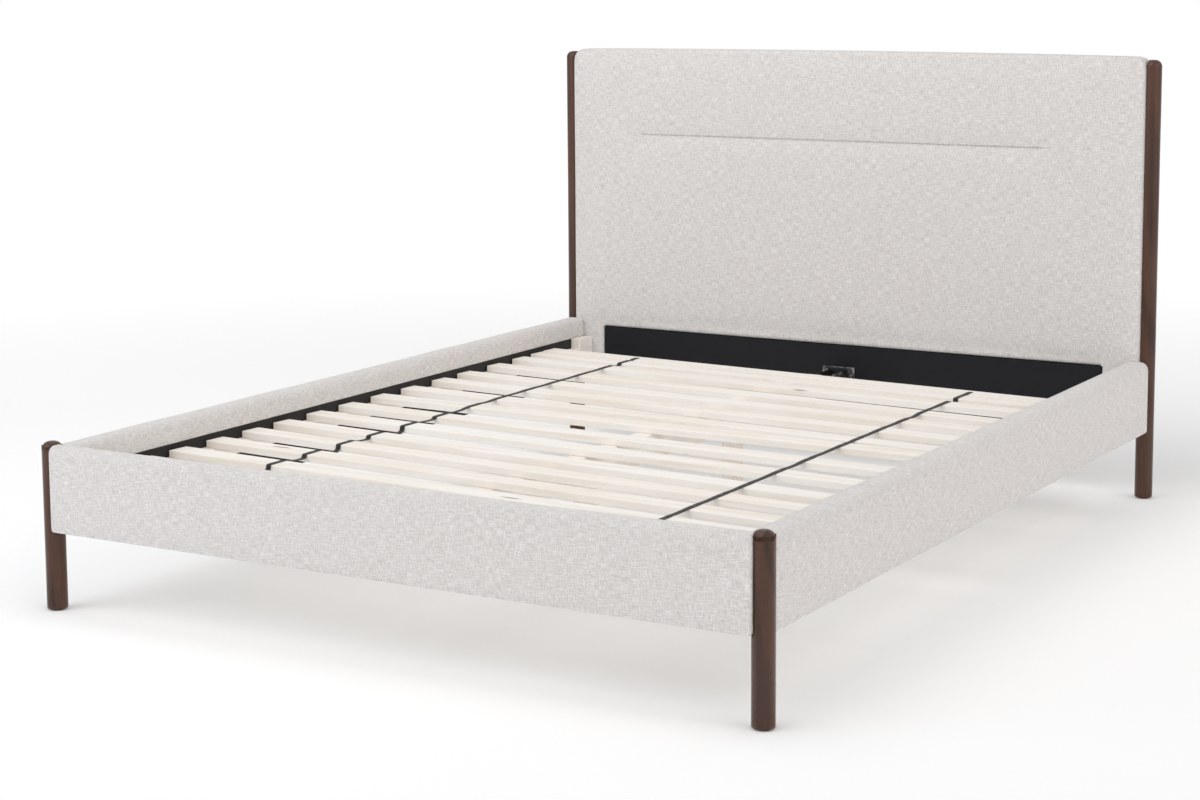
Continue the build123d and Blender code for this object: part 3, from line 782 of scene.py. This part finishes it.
def makeHeadboard():
    low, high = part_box("headboard_pad")
    h = headboard
    xs, zs = headboardGrid(low, high)
    half, top = high.x, high.z
    bm = bmesh.new()
    grid = {}
    for j, z in enumerate(zs):
        width = halfWidthAt(z, half, top)
        for i, x in enumerate(xs):
            if abs(x) < h["openingHalf"] - 1e-6 and z < h["openingTop"] - 1e-6:
                continue
            grid[i, j] = bm.verts.new((x * width / half, low.y, z))
    for j in range(len(zs) - 1):
        for i in range(len(xs) - 1):
            around = [grid.get(k) for k in ((i, j), (i + 1, j), (i + 1, j + 1), (i, j + 1))]
            inOpening = abs(xs[i] + xs[i + 1]) / 2 < h["openingHalf"] and zs[j + 1] <= h["openingTop"] + 1e-6
            if None not in around and not inOpening:
                bm.faces.new(around)
    # the front face rolls back at every edge
    for vert in bm.verts:
        x, z = vert.co.x, vert.co.z
        width = halfWidthAt(z, half, top)
        gaps = [width - abs(x), top - z, z - low.z]
        if z < h["openingTop"] or abs(x) < h["openingHalf"]:
            gaps.append(math.hypot(max(0.0, abs(x) - h["openingHalf"]), max(0.0, z - h["openingTop"])))
        radius = h["edgeRadius"]
        rest = [max(0.0, 1 - gap / radius) for gap in gaps]
        lean = min(1.0, math.sqrt(sum(value * value for value in rest)))
        vert.co.y += radius * (1 - math.sqrt(1 - lean * lean))
    rim = [edge for edge in bm.edges if edge.is_boundary]
    back = high.y
    floorY = low.y + h["innerDepth"]
    margin = h["backMargin"]

    def nextRing(edges, inset, y):
        grown = bmesh.ops.extrude_edge_only(bm, edges=edges)["geom"]
        for vert in [v for v in grown if isinstance(v, bmesh.types.BMVert)]:
            x, z = vert.co.x, vert.co.z
            opening = abs(x) < h["openingHalf"] + 1e-5 and z < h["openingTop"] + 1e-5
            if opening:
                vert.co.y = floorY
                continue
            vert.co.x = max(-half + inset, min(half - inset, x))
            vert.co.z = max(low.z + inset, min(top - inset, z))
            vert.co.y = y
        return [e for e in grown if isinstance(e, bmesh.types.BMEdge)]

    for inset, y in ((0.0, back - 0.03), (0.0, back - 0.003), (0.003, back), (margin, back - 0.001),
                     (margin, floorY)):
        rim = nextRing(rim, inset, y)
    bmesh.ops.contextual_create(bm, geom=rim)
    bmesh.ops.triangulate(bm, faces=[f for f in bm.faces if len(f.verts) > 4])
    mesh = finishMesh(bm, "headboardPad")
    points = readPoints(mesh)
    x, y, z = points.T.copy()
    wrap = ease((np.abs(x) - 0.72) / 0.08) * np.sign(x)
    writeMap(mesh, x + wrap * (y - low.y), z + (y - low.y) * ease((z - 0.98) / 0.1))
    front = ease((low.y + h["edgeRadius"] - y) / h["edgeRadius"])
    across = 1 - (np.abs(x) / half) ** 6
    up = (z - low.z) / (top - low.z)
    along = 1 - np.abs(2 * up - 1) ** 6
    uneven = ripple(points, 0.24, h["uneven"], h["seed"])
    uneven += ripple(points, 0.07, h["uneven"] * 0.25, h["seed"] + 4)
    points[:, 1] -= front * (h["crown"] * across * along + uneven)
    # the pleat: a tuck that sinks at the line, with the cloth above it lapping over
    share = seamShare(x) * front
    gap = z - h["seamLevel"]
    points[:, 1] += share * h["seamDepth"] * np.exp(-(np.minimum(gap, 0) / 0.0035) ** 2) * (gap < 0.0006)
    points[:, 1] -= share * h["seamLip"] * np.exp(-(gap / 0.012) ** 2) * (gap >= 0.0006)
    points[:, 1] += share * 0.0022 * np.exp(-(np.abs(gap) / 0.030) ** 1.3)
    bow = h["bowEnds"] + (h["bowMiddle"] - h["bowEnds"]) * np.sqrt(np.clip(1 - (x / half) ** 2, 0, 1))
    points[:, 2] += bow * ease((z - 0.80) / 0.30)
    writePoints(mesh, points)
    piece = addPiece("headboardPad", mesh, ivory)
    seam = (np.abs(gap) < 0.0016) & (seamShare(x) > 0.2)
    fillPad(piece, np.where((front < 0.5) | seam, 1.0, 0.0), h["fill"])
    smoothOver(piece)
    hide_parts("headboard_pad")


post = {"radius": 0.022, "dome": 0.017, "segments": 72, "flatLow": 0.170, "railFlatHigh": 0.351,
        "footBackFlat": -1.0575, "footFlat": 0.819, "headFlat": 0.821, "chamfer": 0.0015, "uneven": 0.00012}


def postProfile(bottom, top, breaks):
    r = post["radius"]
    profile = [(0.0, bottom), (r - post["chamfer"], bottom), (r, bottom + post["chamfer"])]
    levels = sorted(set(spaced(bottom + 0.01, top - post["dome"] - 0.004, 0.02)) | set(breaks))
    profile += [(r, z) for z in levels]
    for k in range(13):
        angle = math.pi / 2 * k / 12
        profile.append((r - post["dome"] * (1 - math.cos(angle)), top - post["dome"] * (1 - math.sin(angle))))
    profile.append((0.0, top))
    return profile


def makePost(node, sign, atHead):
    low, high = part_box(node)
    r = post["radius"]
    centreX = sign * (abs(low.x if sign < 0 else high.x) - r)
    centreY = (high.y - r) if atHead else (low.y + r)
    flatLow = post["flatLow"]
    flatHigh = high.z + 0.01 if atHead else post["railFlatHigh"]
    breaks = [flatLow - 0.0003, flatLow, flatLow + 0.0005]
    if not atHead:
        breaks += [flatHigh - 0.0005, flatHigh]
    bm = bmesh.new()
    rings = []
    for radius, z in postProfile(low.z, high.z, breaks):
        ring = []
        for k in range(post["segments"]):
            angle = 2 * math.pi * k / post["segments"]
            out = radius
            if radius > 0.015:  # the dome's tip and the base's middle stay true
                out += post["uneven"] * noise.noise(Vector((angle, z * 4, centreX)))
            x = centreX + out * math.cos(angle)
            y = centreY + out * math.sin(angle)
            if flatLow < z < flatHigh:
                limit = post["headFlat"] if atHead else post["footFlat"]
                x = sign * max(abs(x), limit)
                if not atHead:
                    y = min(y, post["footBackFlat"])
            ring.append(bm.verts.new((x, y, z)))
        rings.append(ring)
    for a, b in zip(rings, rings[1:]):
        for k in range(post["segments"]):
            n = (k + 1) % post["segments"]
            bm.faces.new((a[k], a[n], b[n], b[k]))
    mesh = finishMesh(bm, node)
    name = node.replace("_post_", "PostTurned.")
    piece = addPiece(name, mesh, walnut)
    crisp = piece.modifiers.new("crisp", "EDGE_SPLIT")
    crisp.split_angle = math.radians(50)
    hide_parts(node)


strap = {"width": 0.013, "thickness": 0.0012, "tailFoot": 0.012, "tailHead": 0.004, "clear": 0.0004}
# how far each strap drops between one slat and the next, from the foot to the head
strapDrops = {"left": (0.010, 0.013, 0.009, 0.014, 0.008, 0.014, 0.006, 0.004, 0.002, 0.001, 0.001, 0.001,
                       0.001, 0.006, 0.004),
              "right": (0.001, 0.001, 0.001, 0.001, 0.001, 0.001, 0.002, 0.001, 0.001, 0.001, 0.001, 0.003,
                        0.001, 0.014, 0.001)}


def slatEdges(index, x):
    # the slat's near and far top edges at x, from its own corners
    points = readPoints(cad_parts[f"slat_{index:02d}"].data)
    leftEnd = points[points[:, 0] < 0]
    rightEnd = points[points[:, 0] > 0]
    t = (x - leftEnd[:, 0].mean()) / (rightEnd[:, 0].mean() - leftEnd[:, 0].mean())
    near = leftEnd[:, 1].min() * (1 - t) + rightEnd[:, 1].min() * t
    far = leftEnd[:, 1].max() * (1 - t) + rightEnd[:, 1].max() * t
    return near, far, points[:, 2].max()


def strapLine(x, drops):
    # (along, level) of the strap's underside
    line = []
    for i in range(1, 17):
        near, far, top = slatEdges(i, x)
        level = top + strap["clear"]
        middle = (near + far) / 2
        if i == 1:
            line += [(middle - strap["tailFoot"], level)]
        else:
            drop = drops[i - 2]
            lastFar = line[-1][0]
            gap = near - lastFar
            if drop > 0.005:  # slack: down behind the slat, across, and up the next one's face
                line += [(lastFar + 0.003, level - drop * 0.25), (lastFar + gap * 0.35, level - drop * 0.75),
                         (near - 0.006, level - drop), (near - 0.0018, level - drop * 0.55),
                         (near - 0.0005, level - 0.0012)]
            else:
                line += [(lastFar + gap * 0.3, level - drop * 0.8), (lastFar + gap * 0.7, level - drop * 0.9)]
            line += [(near + 0.002, level)]
        line += [(middle, level)]
        line += [(far - 0.001, level)] if i < 16 else [(middle + strap["tailHead"], level)]
    return line


def makeStrap(side, drops):
    low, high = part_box(f"slat_strap_{side}")
    x = (low.x + high.x) / 2
    line = strapLine(x, drops)
    for _ in range(2):  # the corners soften
        softer = [line[0]]
        for (a, b), (c, d) in zip(line, line[1:]):
            softer += [(a * 0.75 + c * 0.25, b * 0.75 + d * 0.25), (a * 0.25 + c * 0.75, b * 0.25 + d * 0.75)]
        line = softer + [line[-1]]
    half = strap["width"] / 2
    across = [(-half, 0.5), (-half + 0.0006, 1.0), (0.0, 0.92), (half - 0.0006, 1.0), (half, 0.5),
              (half - 0.0006, 0.0), (0.0, 0.0), (-half + 0.0006, 0.0)]
    bm = bmesh.new()
    rings = []
    runs = []
    travelled = 0.0
    for i, (y, z) in enumerate(line):
        if i:
            travelled += math.dist(line[i - 1], line[i])
        before, after = line[max(0, i - 1)], line[min(len(line) - 1, i + 1)]
        heading = Vector((after[0] - before[0], after[1] - before[1])).normalized()
        sway = 0.0012 * noise.noise(Vector((y * 6, x, 0.5)))
        ring = []
        for offset, share in across:
            lift = share * strap["thickness"]
            ring.append(bm.verts.new((x + offset + sway, y - heading.y * lift, z + heading.x * lift)))
            runs.append((travelled, offset))
        rings.append(ring)
    for a, b in zip(rings, rings[1:]):
        for k in range(len(across)):
            n = (k + 1) % len(across)
            bm.faces.new((a[k], a[n], b[n], b[k]))
    bm.faces.new(rings[0])
    bm.faces.new(rings[-1])
    bmesh.ops.recalc_face_normals(bm, faces=bm.faces)
    mesh = bpy.data.meshes.new("strapWebbing." + side)
    bm.to_mesh(mesh)
    bm.free()
    runs = np.array(runs)
    writeMap(mesh, runs[:, 0], runs[:, 1])
    piece = addPiece("strapWebbing." + side, mesh, webbing, "slat_deck")
    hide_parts(f"slat_strap_{side}")


# what each part that keeps its CAD shape is made of
finishes = {
    "foot_rail_core": coreAcross, "side_rail_core_left": coreAlong, "side_rail_core_right": coreAlong,
    "side_rail_lining_left": lining, "side_rail_lining_right": lining, "headboard_back_cloth": dustCloth,
    "slat_cleat_left": pineAlong, "slat_cleat_right": pineAlong, "corner_block_left": pineAlong,
    "corner_block_right": pineAlong, "headboard_stile_left": coreUpright,
    "headboard_stile_right": coreUpright,
    "headboard_bottom_rail": coreAcross, "headboard_middle_rail": coreAcross,
    "headboard_top_rail": coreAcross,
    "headboard_panel": coreAcross, "headboard_lower_panel": blackBoard, "corner_brackets_foot": blackSteel,
    "corner_brackets_head": blackSteel, "centre_socket_foot": blackSteel, "centre_socket_head": blackSteel,
    "centre_leg_front": pineUpright, "centre_leg_back": pineUpright, "joint_bolts": blackSteel,
    "centre_socket_bolts": blackSteel, "corner_bracket_screws": zinc, "slat_cleat_screws": zinc,
    "centre_leg_screws": zinc, "strap_staples": zinc, "centre_rail": pineAlong, "post_glides": plastic,
    "levelling_foot_front": plastic, "levelling_foot_back": plastic}
finishes.update({f"slat_{i:02d}": pine for i in range(1, 17)})


def dressFrame():
    for node, material in finishes.items():
        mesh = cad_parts[node].data
        mesh.materials.clear()
        mesh.materials.append(material)


makeFootRail()
makeSideRail("left", -1, 11.0)
makeSideRail("right", 1, 15.0)
print("rails padded")
makeHeadboard()
print("headboard padded")
for side, sign in (("left", -1), ("right", 1)):
    makePost("foot_post_" + side, sign, False)
    makePost("head_post_" + side, sign, True)
    makeStrap(side, strapDrops[side])
print("posts and straps made")
dressFrame()
print("frame dressed")
